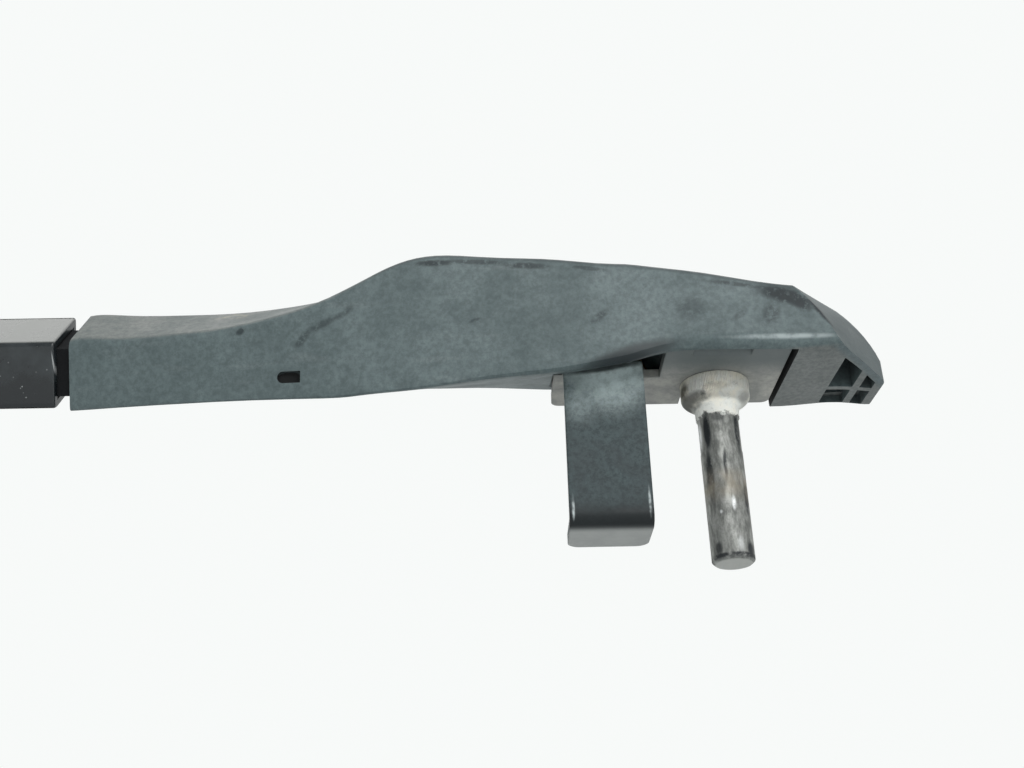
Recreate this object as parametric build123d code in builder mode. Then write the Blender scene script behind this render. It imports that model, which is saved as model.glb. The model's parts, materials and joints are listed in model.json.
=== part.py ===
"""Sprung wiper arm: a twisted moulded body on a folded steel head with a plain spindle pin.

Millimetres. The origin is on the spindle axis, at the shoulder where the plain shank begins.
+Z is up along the spindle, +X points to the nose and -X to the blade end.
The near side is the one towards -Y, the far side the one towards +Y.
"""
import os
from math import cos, radians, sin, tan

from build123d import *

# Spindle pin
shank_radius = 4.0
shank_length = 31.2
shank_chamfer = 0.7
cone_height = 2.4
cone_radius = 4.4
collar_height = 3.2
collar_radius = 6.9
stub_radius = 3.4
rivet_radius = 4.5
rivet_height = 1.4

# Folded steel head
sheet = 1.8
bend = 1.5
plate_left = -32.0
plate_right = 12.3
plate_near = -14.9
plate_far = 8.2
plate_corner = 1.6
tab_near = -5.6
notch_near = -3.9
notch_right = -11.2
ear_left = -6.0
ear_right = 5.0
ear_near = -14.5
ear_far = 7.0
leg_left = -30.25
leg_right = -15.1
leg_face = -9.2
leg_drop = 31.85
foot_depth = 12.5
foot_corner = 2.4

# Hinge
hinge_x = -9.0
hinge_rise = 9.0
hinge_pin_radius = 2.0
hinge_ear_radius = 4.2
barrel_radius = 4.4
web_thickness = 5.0
bush_wall = 1.1
bush_length = 7.0
bush_flange = 0.8
pin_entry_play = 0.3

# Tension spring and its two cross pins
spring_x = -18.5
spring_rise = 5.8
spring_y = -5.0
anchor_x = -78.0
anchor_rise = 7.4
cross_pin_radius = 1.5
cross_pin_ear_radius = 3.0
anchor_grip = 1.4
wire_radius = 0.65
coil_radius = 2.6
coil_turns = 9
coil_steps = 12
coil_lead = 5.0
wire_sides = 6
hook_wrap = 150
hook_steps = 8
hook_play = 0.1

# Moulded arm body
wall = 2.2
arm_reach = 124.6
nose_reach = 33.4
roof_tilt_head = 13.0
roof_tilt_tip = 52.6
tilt_start = 16.0
tilt_power = 1.6
lean_tip = 27.0
lean_start = -14.0
near_side_head = -17.5
near_side_tip = -4.5
near_side_start = -33.0
width_head = 28.4
width_tip = 13.6
width_start = -33.0
nose_draw = 2.0
floor_tilt_front = 1.5
top_round = 1.4
far_round = 0.9
bottom_round_tip = 1.2
bottom_round_head = 3.2
bottom_round_start = -56.0
round_facets = 3
cavity_left = -84.0
cavity_right = 21.4
opening_right = 13.3
opening_gap = 0.5
opening_rise = 2.2
throat_rise = 8.4
throat_play = 0.4
slot_x = -81.8
slot_height = 2.9
slot_length = 4.4
slot_width = 2.2
slot_depth = 1.2

# Heights of the near side's lower and upper edge, at distances from the spindle axis
tip_edges = (-0.2, 11.9)
shank_x, shank_edges = -104.0, (-0.5, 12.0)
rise_x, rise_edges = -88.0, (-1.0, 13.6)
slope_x, slope_edges = -74.0, (-1.7, 17.3)
shoulder_x, shoulder_edges = -64.0, (-1.5, 22.4)
crest_x, crest_edges = -56.0, (-1.2, 24.8)
back_x, back_edges = -44.0, (-0.4, 24.3)
waist_x, waist_edges = -32.0, (0.0, 23.5)
skirt_x, skirt_edges = -20.0, (2.0, 23.1)
head_x, head_edges = -9.0, (4.7, 22.2)
front_x, front_edges = 13.0, (4.9, 18.1)
nose_edges = (4.9, 17.0)
station_pitch = 8.0

# Nose
nose_turn = 50.6
nose_foot_x = 20.6
nose_foot_z = 4.9
nose_run = 7.6
nose_top_z = 17.8
nose_bulge = 1.1
nose_rise = 0.17
apex_round = 4.0
pocket_left = 23.0
pocket_wall = 1.8
rib = 1.4
cross_rib_x = 28.5
long_rib_y = 2.0

# Outer bar on the spigot of the arm's blade end
tip_gap = 3.0
spigot_inset = 2.0
spigot_length = 24.0
socket_play = 0.1
bar_length = 45.0
bar_inset = 0.2
bar_top_round = 1.0
bar_bottom_round = 1.8
bar_end_chamfer = 0.6
blade_bore_radius = 1.6
blade_bore_from_end = 8.0

# Clearances
running = 0.05
seat = 0.02
side_play = 0.3
reach = 80.0

# Places that follow from the sizes above
plate_z = cone_height + collar_height
plate_top = plate_z + sheet
hinge_z = plate_z + hinge_rise
spring_z = plate_z + spring_rise
anchor_z = plate_z + anchor_rise
tip_x = -arm_reach
near_ear = ear_near + sheet
far_ear = ear_far - sheet
barrel_near = near_ear + side_play + bush_flange
barrel_far = far_ear - side_play - bush_flange
bush_radius = hinge_pin_radius + running + bush_wall
opening_left = plate_left - opening_gap
near_edges = [
    (tip_x, *tip_edges),
    (shank_x, *shank_edges),
    (rise_x, *rise_edges),
    (slope_x, *slope_edges),
    (shoulder_x, *shoulder_edges),
    (crest_x, *crest_edges),
    (back_x, *back_edges),
    (waist_x, *waist_edges),
    (skirt_x, *skirt_edges),
    (head_x, *head_edges),
    (front_x, *front_edges),
    (nose_reach + wall, *nose_edges),
]


def share(x, start, end):
    """How far x lies from start to end, from 0 to 1."""
    return min(1.0, max(0.0, (x - start) / (end - start)))


def edge_height(x, upper):
    """Smooth height of the lower or upper near edge at x, through the stations beside it."""
    along = [edge[0] for edge in near_edges]
    heights = [edge[2 if upper else 1] for edge in near_edges]
    last = len(along) - 1
    i = max(k for k in range(last) if along[k] <= max(x, tip_x))
    slopes = []
    for k in (i, i + 1):
        before, after = max(k - 1, 0), min(k + 1, last)
        slopes.append((heights[after] - heights[before]) / (along[after] - along[before]))
    gap = along[i + 1] - along[i]
    t = (x - along[i]) / gap
    rise = heights[i + 1] - heights[i]
    bow = (slopes[0] * gap - rise) * (1 - t) + (rise - slopes[1] * gap) * t
    return heights[i] + t * rise + t * (1 - t) * bow


def roof_tilt(x):
    grown = share(x, tilt_start, tip_x) ** tilt_power
    return radians(roof_tilt_head + (roof_tilt_tip - roof_tilt_head) * grown)


def side_lean(x):
    return radians(lean_tip) * share(x, lean_start, tip_x)


def floor_tilt(x):
    """As the roof, but nearly level at the front of the head."""
    levelled = share(x, waist_x, front_x)
    levelled *= levelled * (3 - 2 * levelled)
    return roof_tilt(x) * (1 - levelled) + radians(floor_tilt_front) * levelled


def corners(x, inset=0.0):
    """Section corners as (y, z): near bottom, far bottom, far top, near top."""
    bottom, top = edge_height(x, False), edge_height(x, True)
    near = near_side_head + (near_side_tip - near_side_head) * share(x, near_side_start, tip_x)
    lean = side_lean(x)
    near_top = near - (top - bottom) * tan(lean)
    width = width_head + (width_tip - width_head) * share(x, width_start, tip_x)
    width -= nose_draw * share(x, opening_right, nose_reach)
    floor, roof = floor_tilt(x), roof_tilt(x)
    points = [
        Vector(near, bottom),
        Vector(near + width * cos(floor), bottom + width * sin(floor)),
        Vector(near_top + width * cos(roof), top + width * sin(roof)),
        Vector(near_top, top),
    ]
    sides = [(points[(i + 1) % 4] - points[i]).normalized() for i in range(4)]
    inward = [Vector(-side.Y, side.X) for side in sides]
    return [
        points[i] + (inward[i - 1] + inward[i]) * (inset / (1 + inward[i - 1].dot(inward[i])))
        for i in range(4)
    ]


def rounded(points, setbacks):
    """Points with each corner turned into facets on a curve that starts and ends at its setback."""
    ring = []
    for i, corner in enumerate(points):
        start = corner + (points[i - 1] - corner).normalized() * setbacks[i]
        end = corner + (points[(i + 1) % len(points)] - corner).normalized() * setbacks[i]
        for step in range(round_facets + 1):
            t = step / round_facets
            ring.append(start * (1 - t) ** 2 + corner * (2 * t * (1 - t)) + end * t**2)
    return ring


def outline(x, points):
    """Outline in the plane at x, through points given as (y, z)."""
    with BuildSketch(Plane.YZ.offset(x)) as face:
        with BuildLine():
            Polyline(*points, close=True)
        make_face()
    return face.sketch


def stations(left, right):
    """Evenly spaced places from left to right."""
    spans = round((right - left) / station_pitch)
    return [left + (right - left) * i / spans for i in range(spans + 1)]


def bottom_round(x):
    grown = share(x, bottom_round_start, head_x)
    return bottom_round_tip + (bottom_round_head - bottom_round_tip) * grown


def outer_section(x):
    rounds = [bottom_round(x), far_round, far_round, top_round]
    return outline(x, rounded(corners(x), rounds))


def inner_section(x, inset):
    return outline(x, corners(x, inset))


def side_y(x, z, far, inset):
    """Where the near or far side, drawn in by the inset, lies at x and height z."""
    near_low, far_low, far_high, near_high = corners(x, inset)
    start, end = (far_low, far_high) if far else (near_low, near_high)
    return start.X + (end.X - start.X) * (z - start.Y) / (end.Y - start.Y)


def disc(y, x, z, radius):
    """Round profile in the plane at y, for what lies along Y."""
    with BuildSketch(Plane.XZ.offset(-y)) as face:
        with Locations((x, z)):
            Circle(radius)
    return face.sketch


def cross_pin(label, x, z, near, far, radius):
    """Pin along Y from the near to the far end."""
    with BuildPart() as pin:
        extrude(disc(far, x, z, radius), amount=far - near)
    pin.part.label = label
    return pin


def nose_cut(foot_x, lift, way, inset):
    """What lies outside one curved flank of the nose, carried the given way."""
    shift = Vector(foot_x - inset / way.Y, lift - inset) - Vector(way.X, way.Z) * (reach / way.Y)
    top = Vector(-nose_run, nose_top_z) + shift
    foot = Vector(0, nose_foot_z) + shift
    chord = (foot - top).normalized()
    middle = (top + foot) * 0.5 + Vector(-chord.Y, chord.X) * nose_bulge
    above, below = top - chord * reach, foot - Vector(0, reach)
    aside = Vector(4 * reach, 0)
    with BuildSketch(Plane.XZ.offset(reach - near_side_head)) as outside:
        with BuildLine():
            ThreePointArc(top, middle, foot)
            Polyline(foot, below, below + aside, above + aside, above, top)
        make_face()
    return extrude(outside.sketch, amount=4 * reach, dir=way)


# Spindle pin: shank, cone, collar, stub and rivet head turned in one
with BuildPart() as spindle_pin:
    with BuildSketch(Plane.XZ):
        with BuildLine():
            Polyline(
                (0, -shank_length),
                (shank_radius - shank_chamfer, -shank_length),
                (shank_radius, shank_chamfer - shank_length),
                (shank_radius, 0),
                (cone_radius, 0),
                (collar_radius, cone_height),
                (collar_radius, plate_z),
                (stub_radius - seat, plate_z),
                (stub_radius - seat, plate_top),
                (rivet_radius, plate_top),
                (rivet_radius - rivet_height, plate_top + rivet_height),
                (0, plate_top + rivet_height),
                close=True,
            )
        make_face()
    revolve(axis=Axis.Z)
spindle_pin.part.label = "spindle_pin"

# Head: plate, two hinge ears folded up and a hooked leg folded down, one sheet
plate_middle = plate_z + sheet / 2
leg_middle = leg_face + sheet / 2
foot_middle = plate_z - leg_drop + sheet / 2
fold = bend + sheet / 2
with BuildPart() as head_bracket:
    with BuildSketch(Plane.XY.offset(plate_z)) as plan:
        with Locations((plate_left, plate_near)):
            Rectangle(plate_right - plate_left, plate_far - plate_near, align=Align.MIN)
        fillet(plan.vertices().group_by(Axis.Y)[-1], plate_corner)
        for left, right, near in ((plate_left, leg_left, tab_near), (leg_left, notch_right, notch_near)):
            with Locations((left, plate_near)):
                Rectangle(right - left, near - plate_near, align=Align.MIN, mode=Mode.SUBTRACT)
        for edge, inwards in ((ear_near, Align.MAX), (ear_far, Align.MIN)):
            with Locations(((ear_left + ear_right) / 2, edge)):
                ear_width = ear_right - ear_left
                Rectangle(ear_width, 2 * fold, mode=Mode.SUBTRACT)
                Rectangle(ear_width, reach, align=(Align.CENTER, inwards), mode=Mode.SUBTRACT)
        Circle(stub_radius, mode=Mode.SUBTRACT)
    extrude(amount=sheet)
    with BuildSketch(Plane.YZ.offset(leg_left)):
        with BuildLine():
            FilletPolyline(
                (notch_near, plate_middle),
                (leg_middle, plate_middle),
                (leg_middle, foot_middle),
                (leg_face + foot_depth, foot_middle),
                radius=bend,
            )
        trace(line_width=sheet)
    extrude(amount=leg_right - leg_left)
    for outer, inner, turn in ((ear_near, near_ear, 1), (ear_far, far_ear, -1)):
        ear_middle = (outer + inner) / 2
        with BuildSketch(Plane.YZ.offset(ear_left)):
            with BuildLine():
                FilletPolyline(
                    (ear_middle + turn * fold, plate_middle),
                    (ear_middle, plate_middle),
                    (ear_middle, plate_middle + fold),
                    radius=bend,
                )
            trace(line_width=sheet)
        extrude(amount=ear_right - ear_left)
        with BuildSketch(Plane.XZ.offset(-max(outer, inner))):
            with Locations((hinge_x, hinge_z)):
                Circle(hinge_ear_radius)
            with Locations((spring_x, spring_z)):
                Circle(cross_pin_ear_radius)
            with Locations((ear_left, plate_middle + fold)):
                Rectangle(ear_right - ear_left, sheet, align=Align.MIN)
            make_hull()
            with Locations((hinge_x, hinge_z)):
                Circle(hinge_pin_radius + seat, mode=Mode.SUBTRACT)
            with Locations((spring_x, spring_z)):
                Circle(cross_pin_radius + seat, mode=Mode.SUBTRACT)
        extrude(amount=sheet)
    foot_edges = head_bracket.edges().filter_by(Axis.Z).group_by(Axis.Z)[0].sort_by(Axis.Y)
    fillet(foot_edges[-2:], foot_corner)
head_bracket.part.label = "head_bracket"

# Cross pins: the hinge, the spring's hook on the head and its anchor in the arm
anchor_near = side_y(anchor_x, anchor_z, False, wall - anchor_grip)
anchor_far = side_y(anchor_x, anchor_z, True, wall - anchor_grip)
hinge_pin = cross_pin("hinge_pin", hinge_x, hinge_z, ear_near, ear_far, hinge_pin_radius)
spring_pin = cross_pin("spring_pin", spring_x, spring_z, ear_near, ear_far, cross_pin_radius)
anchor_pin = cross_pin("anchor_pin", anchor_x, anchor_z, anchor_near, anchor_far, cross_pin_radius)

# Two flanged bushes in the ends of the arm's hinge barrel
bushes = []
for side, end, inwards in (("near", barrel_near, -1), ("far", barrel_far, 1)):
    with BuildPart() as bush:
        extrude(disc(end, hinge_x, hinge_z, bush_radius), amount=inwards * bush_length)
        extrude(disc(end, hinge_x, hinge_z, barrel_radius), amount=-inwards * bush_flange)
        bore = disc(0, hinge_x, hinge_z, hinge_pin_radius + running)
        extrude(bore, amount=reach, both=True, mode=Mode.SUBTRACT)
    bush.part.label = f"hinge_bush_{side}"
    bushes.append(bush)

# Flanks of the nose: an oblique one on the near side and a square one at the end
oblique = Vector(cos(radians(nose_turn)), sin(radians(nose_turn)), nose_rise)
apex_lift = (nose_reach - nose_foot_x) * oblique.Z / oblique.X
flanks = ((nose_foot_x, 0, oblique), (nose_reach, apex_lift, Vector(0, 1, 0)))

# Space inside the arm and its throat over the head, left free around the hinge barrel and its web
inner_near = near_side_head + wall
throat_left = spring_x - cross_pin_ear_radius - throat_play
with BuildPart() as cavity:
    loft([inner_section(x, wall) for x in stations(cavity_left, cavity_right)], ruled=True)
    for foot_x, lift, way in flanks:
        add(nose_cut(foot_x, lift, way, wall), mode=Mode.SUBTRACT)
    with BuildSketch(Plane.XY.offset(plate_z + throat_rise)):
        with BuildLine():
            Polyline(
                (throat_left, inner_near),
                (opening_right, inner_near),
                (opening_right, plate_far + throat_play),
                (hinge_x, plate_far + throat_play),
                (throat_left, ear_far + throat_play),
                close=True,
            )
        make_face()
    extrude(amount=-reach)
    with BuildSketch(Plane.XZ.offset(-barrel_far)):
        with Locations((hinge_x, hinge_z)):
            Circle(barrel_radius)
            Rectangle(web_thickness, reach, align=(Align.CENTER, Align.MIN))
    extrude(amount=barrel_far - barrel_near, mode=Mode.SUBTRACT)

# Pockets under the nose, parted by two crossed ribs
with BuildPart() as pockets:
    loft([inner_section(x, pocket_wall) for x in stations(pocket_left, nose_reach + wall)])
    with BuildSketch(Plane.XY.offset(plate_z + pocket_wall)):
        with Locations((pocket_left, near_side_head + pocket_wall)):
            Rectangle(reach, width_head - 2 * pocket_wall, align=Align.MIN)
    extrude(amount=-reach)
    for foot_x, lift, way in flanks:
        add(nose_cut(foot_x, lift, way, pocket_wall), mode=Mode.SUBTRACT)
    with BuildSketch(Plane.XY):
        with Locations((cross_rib_x, 0)):
            Rectangle(rib, 2 * reach)
        with Locations((0, long_rib_y)):
            Rectangle(2 * reach, rib)
    extrude(amount=reach, both=True, mode=Mode.SUBTRACT)

# Arm body
slot_lean = side_lean(slot_x)
slot_place = (slot_x, side_y(slot_x, slot_height, False, 0), slot_height)
slot_face = Plane(origin=slot_place, x_dir=(1, 0, 0), z_dir=(0, -cos(slot_lean), -sin(slot_lean)))
with BuildPart() as arm_body:
    loft([outer_section(x) for x in stations(tip_x, nose_reach + wall)])
    for foot_x, lift, way in flanks:
        add(nose_cut(foot_x, lift, way, 0), mode=Mode.SUBTRACT)
    nose_end = arm_body.faces().sort_by(Axis.X)[-1]
    fillet(nose_end.edges().sort_by(Axis.Y)[0], apex_round)
    add(cavity.part, mode=Mode.SUBTRACT)
    add(pockets.part, mode=Mode.SUBTRACT)
    with BuildSketch(Plane.XY.offset(plate_z + opening_rise)):
        with Locations((opening_left, inner_near)):
            Rectangle(opening_right - opening_left, reach, align=Align.MIN)
    extrude(amount=-reach, mode=Mode.SUBTRACT)
    barrel_bore = disc(barrel_far, hinge_x, hinge_z, bush_radius + seat)
    extrude(barrel_bore, amount=barrel_far - barrel_near, mode=Mode.SUBTRACT)
    pin_entry = disc(ear_far, hinge_x, hinge_z, hinge_pin_radius + pin_entry_play)
    extrude(pin_entry, amount=-reach, mode=Mode.SUBTRACT)
    anchor_hole = disc(anchor_far, anchor_x, anchor_z, cross_pin_radius + seat)
    extrude(anchor_hole, amount=anchor_far - anchor_near, mode=Mode.SUBTRACT)
    with BuildSketch(slot_face):
        SlotOverall(slot_length, slot_width)
        Rectangle(slot_length / 2, slot_width, align=(Align.MIN, Align.CENTER))
    extrude(amount=slot_depth, both=True, mode=Mode.SUBTRACT)
    extrude(inner_section(tip_x, spigot_inset), amount=-tip_gap - spigot_length)
arm_body.part.label = "arm_body"

# Outer bar, pushed on to the spigot
bar_rounds = [bar_bottom_round, bar_top_round, bar_top_round, bar_top_round]
bar_x = tip_x - tip_gap
bar_end = bar_x - bar_length
bar_middle = sum(corners(tip_x), Vector()) * 0.25
bore_place = (bar_end + blade_bore_from_end, bar_middle.X, bar_middle.Y)
bore_way = (0, cos(roof_tilt(tip_x)), sin(roof_tilt(tip_x)))
with BuildPart() as outer_bar:
    rings = []
    for x, inset in ((bar_x, 0), (bar_end + bar_end_chamfer, 0), (bar_end, bar_end_chamfer)):
        rings.append(outline(x, rounded(corners(tip_x, bar_inset + inset), bar_rounds)))
    loft(rings, ruled=True)
    socket = outline(bar_x, corners(tip_x, spigot_inset - socket_play))
    extrude(socket, amount=-spigot_length - socket_play, mode=Mode.SUBTRACT)
    with BuildSketch(Plane(origin=bore_place, x_dir=(1, 0, 0), z_dir=bore_way)):
        Circle(blade_bore_radius)
    extrude(amount=reach, both=True, mode=Mode.SUBTRACT)
outer_bar.part.label = "outer_bar"

# Tension spring: a hook round each cross pin and the coil between, as one wire
hook_radius = cross_pin_radius + wire_radius + hook_play
spring_start = Vector(spring_x, spring_y, spring_z)
spring_end = Vector(anchor_x, spring_y, anchor_z)
along = (spring_end - spring_start).normalized()
upward = along.cross(Vector(0, -1, 0))
length = (spring_end - spring_start).length
coil_length = length - 2 * coil_lead
wire_path = []
for step in range(hook_steps + 1):
    angle = radians(-hook_wrap + (hook_wrap + 90) * step / hook_steps)
    wire_path.append((-hook_radius * cos(angle), 0, hook_radius * sin(angle)))
for step in range(coil_turns * coil_steps + 1):
    angle = radians(90 + 360 * step / coil_steps)
    travelled = coil_lead + coil_length * step / (coil_turns * coil_steps)
    wire_path.append((travelled, coil_radius * cos(angle), coil_radius * sin(angle)))
wire_path += [(length - s, y, z) for s, y, z in reversed(wire_path[: hook_steps + 1])]
places = [spring_start + along * s + Vector(0, y, 0) + upward * z for s, y, z in wire_path]
with BuildPart() as tension_spring:
    rings = []
    for i, place in enumerate(places):
        heading = places[min(i + 1, len(places) - 1)] - places[max(i - 1, 0)]
        sideways = heading.cross(along if abs(heading.normalized().dot(along)) < 0.9 else upward)
        with BuildSketch(Plane(origin=place, x_dir=sideways, z_dir=heading)) as ring:
            RegularPolygon(wire_radius, wire_sides)
        rings.append(ring.sketch)
    loft(rings, ruled=True)
tension_spring.part.label = "tension_spring"

os.makedirs("parts", exist_ok=True)
for piece in (
    arm_body,
    outer_bar,
    anchor_pin,
    *bushes,
    tension_spring,
    head_bracket,
    spindle_pin,
    hinge_pin,
    spring_pin,
):
    export_step(piece.part, f"parts/{piece.part.label}.step")
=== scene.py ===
import json
import math

import bpy
import numpy as np
from mathutils import Matrix, Vector

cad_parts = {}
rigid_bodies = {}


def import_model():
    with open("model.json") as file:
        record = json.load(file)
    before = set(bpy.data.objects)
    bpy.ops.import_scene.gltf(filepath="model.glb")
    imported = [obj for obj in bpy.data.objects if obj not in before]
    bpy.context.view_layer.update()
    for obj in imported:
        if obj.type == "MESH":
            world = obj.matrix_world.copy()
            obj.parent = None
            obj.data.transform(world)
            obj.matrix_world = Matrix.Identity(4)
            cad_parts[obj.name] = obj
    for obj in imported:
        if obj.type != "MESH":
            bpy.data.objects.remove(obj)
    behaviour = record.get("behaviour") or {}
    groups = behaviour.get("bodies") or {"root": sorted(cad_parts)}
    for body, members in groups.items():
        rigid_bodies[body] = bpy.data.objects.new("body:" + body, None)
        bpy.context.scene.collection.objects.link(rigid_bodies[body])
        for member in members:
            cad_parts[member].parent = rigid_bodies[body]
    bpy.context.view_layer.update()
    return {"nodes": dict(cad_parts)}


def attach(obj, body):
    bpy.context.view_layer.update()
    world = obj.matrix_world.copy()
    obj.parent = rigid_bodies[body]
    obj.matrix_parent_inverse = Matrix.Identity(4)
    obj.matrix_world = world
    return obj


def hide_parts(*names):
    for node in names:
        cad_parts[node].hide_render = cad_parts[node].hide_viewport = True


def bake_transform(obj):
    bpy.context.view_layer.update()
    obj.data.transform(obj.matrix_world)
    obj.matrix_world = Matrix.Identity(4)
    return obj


for leftover in list(bpy.data.objects):  # the start-up cube, lamp and camera
    bpy.data.objects.remove(leftover)

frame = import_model()
nodes = frame["nodes"]
scene = bpy.context.scene
scene.view_settings.view_transform = "Standard"
mm = 0.001
print("frame loaded:", len(nodes), "nodes")


# camera: low in front of the arm, looking up at its underside
cameraSet = {
    "place": (-0.04187, -0.19598, -0.09255),
    "right": (0.999816, -0.000071, -0.019168),
    "up": (0.017069, -0.451664, 0.892033),
    "lens": 38.96,
    "sensor": 36.0,
    "clip": (0.005, 20.0),
}


def makeCamera(values):
    lens = bpy.data.cameras.new("photoCamera")
    lens.sensor_width = values["sensor"]
    lens.lens = values["lens"]
    lens.clip_start, lens.clip_end = values["clip"]
    eye = bpy.data.objects.new("photoCamera", lens)
    scene.collection.objects.link(eye)
    right, up = Vector(values["right"]), Vector(values["up"])
    turn = Matrix((right, up, right.cross(up))).transposed()
    eye.matrix_world = Matrix.Translation(values["place"]) @ turn.to_4x4()
    scene.camera = eye


makeCamera(cameraSet)
print("camera set")


# helpers for the finishes; every pattern reads Object coordinates, in metres
def startFinish(name):
    finish = bpy.data.materials.new(name)
    finish.use_nodes = True
    tree = finish.node_tree
    shader = tree.nodes["Principled BSDF"]
    place = tree.nodes.new("ShaderNodeTexCoord").outputs["Object"]
    return finish, tree, shader, place


def facingOf(tree):
    return tree.nodes.new("ShaderNodeTexCoord").outputs["Normal"]


def put(tree, socket, value):
    if isinstance(value, bpy.types.NodeSocket):
        tree.links.new(value, socket)
    else:
        socket.default_value = value


def stretched(tree, place, scale):
    node = tree.nodes.new("ShaderNodeMapping")
    tree.links.new(place, node.inputs["Vector"])
    node.inputs["Scale"].default_value = scale
    return node.outputs[0]


def noise(tree, place, scale, detail=3.0, rough=0.55, bend=0.0):
    node = tree.nodes.new("ShaderNodeTexNoise")
    tree.links.new(place, node.inputs["Vector"])
    node.inputs["Scale"].default_value = scale
    node.inputs["Detail"].default_value = detail
    node.inputs["Roughness"].default_value = rough
    node.inputs["Distortion"].default_value = bend
    return node.outputs["Fac"]


def cells(tree, place, scale):
    node = tree.nodes.new("ShaderNodeTexVoronoi")
    tree.links.new(place, node.inputs["Vector"])
    node.inputs["Scale"].default_value = scale
    return node.outputs["Distance"]


def ease(tree, value, low, high, start=0.0, end=1.0):
    node = tree.nodes.new("ShaderNodeMapRange")
    node.interpolation_type = "SMOOTHSTEP"
    tree.links.new(value, node.inputs["Value"])
    node.inputs["From Min"].default_value = low
    node.inputs["From Max"].default_value = high
    node.inputs["To Min"].default_value = start
    node.inputs["To Max"].default_value = end
    return node.outputs[0]


def easeMm(tree, value, low, high, start=0.0, end=1.0):  # low and high in millimetres
    return ease(tree, value, low * mm, high * mm, start, end)


def maths(tree, operation, first, second=0.0):
    node = tree.nodes.new("ShaderNodeMath")
    node.operation = operation
    put(tree, node.inputs[0], first)
    put(tree, node.inputs[1], second)
    return node.outputs[0]


def times(tree, value, *others):
    for other in others:
        value = maths(tree, "MULTIPLY", value, other)
    return value


def most(tree, value, *others):
    for other in others:
        value = maths(tree, "MAXIMUM", value, other)
    return value


def blendColour(tree, amount, first, second):
    node = tree.nodes.new("ShaderNodeMix")
    node.data_type = "RGBA"
    put(tree, node.inputs[0], amount)
    for socket, colour in ((node.inputs[6], first), (node.inputs[7], second)):
        put(tree, socket, (*colour, 1) if isinstance(colour, tuple) else colour)
    return node.outputs[2]


def axisOf(tree, vector, axis):
    node = tree.nodes.new("ShaderNodeSeparateXYZ")
    tree.links.new(vector, node.inputs[0])
    return node.outputs[axis]


def lengthOf(tree, vector):
    node = tree.nodes.new("ShaderNodeVectorMath")
    node.operation = "LENGTH"
    tree.links.new(vector, node.inputs[0])
    return node.outputs["Value"]


def patch(tree, place, centre, half, turn=(0, 0, 0), core=0.35):
    # 1 inside an ellipsoid about centre, fading to 0 at its skin; millimetres and degrees
    node = tree.nodes.new("ShaderNodeMapping")
    node.vector_type = "TEXTURE"
    tree.links.new(place, node.inputs["Vector"])
    node.inputs["Location"].default_value = [c * mm for c in centre]
    node.inputs["Rotation"].default_value = [math.radians(a) for a in turn]
    node.inputs["Scale"].default_value = [h * mm for h in half]
    return ease(tree, lengthOf(tree, node.outputs[0]), 1.0, core)


def bump(tree, height, depth, below=None):  # depth in millimetres
    node = tree.nodes.new("ShaderNodeBump")
    node.inputs["Strength"].default_value = 1.0
    node.inputs["Distance"].default_value = depth * mm
    tree.links.new(height, node.inputs["Height"])
    if below is not None:
        tree.links.new(below, node.inputs["Normal"])
    return node.outputs[0]


def crevice(tree, reach, span, samples=8):
    # 1 where the piece itself closes the surface in, 0 where it lies open
    node = tree.nodes.new("ShaderNodeAmbientOcclusion")
    node.only_local = True
    node.samples = samples
    node.inputs["Distance"].default_value = reach * mm
    return ease(tree, node.outputs["AO"], *span)


def rays(tree):
    # 1 for what the camera sees, and 1 for what is mirrored or seen through something clear
    path = tree.nodes.new("ShaderNodeLightPath")
    shiny = most(tree, path.outputs["Is Glossy Ray"], path.outputs["Is Transmission Ray"])
    return path.outputs["Is Camera Ray"], shiny


def mixShaders(tree, amount, first, second):
    node = tree.nodes.new("ShaderNodeMixShader")
    tree.links.new(amount, node.inputs[0])
    tree.links.new(first.outputs[0], node.inputs[1])
    tree.links.new(second.outputs[0], node.inputs[2])
    return node


# studio: white surround, pale floor, soft boxes above, in front and at the side
studio = {
    "surround": (0.935, 0.955, 0.945),
    "nearSide": (0.30, 0.31, 0.31),
    "behindSpan": (-0.55, 0.25),
    "fillColour": (0.93, 0.97, 1.0),
    "fill": 0.42,
    "boxes": {
        "topBox": {"place": (-0.05, 0.10, 0.50), "size": (0.80, 0.50), "watts": 0.95},
        "frontBox": {"place": (0.06, -0.54, 0.26), "size": (0.60, 0.50), "watts": 2.9},
        "sideBox": {"place": (0.55, -0.20, -0.02), "size": (0.40, 0.50), "watts": 0.5},
    },
    "aim": (-0.05, 0.0, 0.0),
    "floorZ": -0.16,
    "floorHalf": 6.0,
    "floorCells": 2,
    "floorColour": (0.80, 0.82, 0.82),
    "floorNoise": (6, 3),
    "floorDim": 0.96,
    "floorRough": 0.7,
    "floorFade": (0.20, 0.55, 0.2, 1.0),  # metres from the middle, and how white there
}


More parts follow.
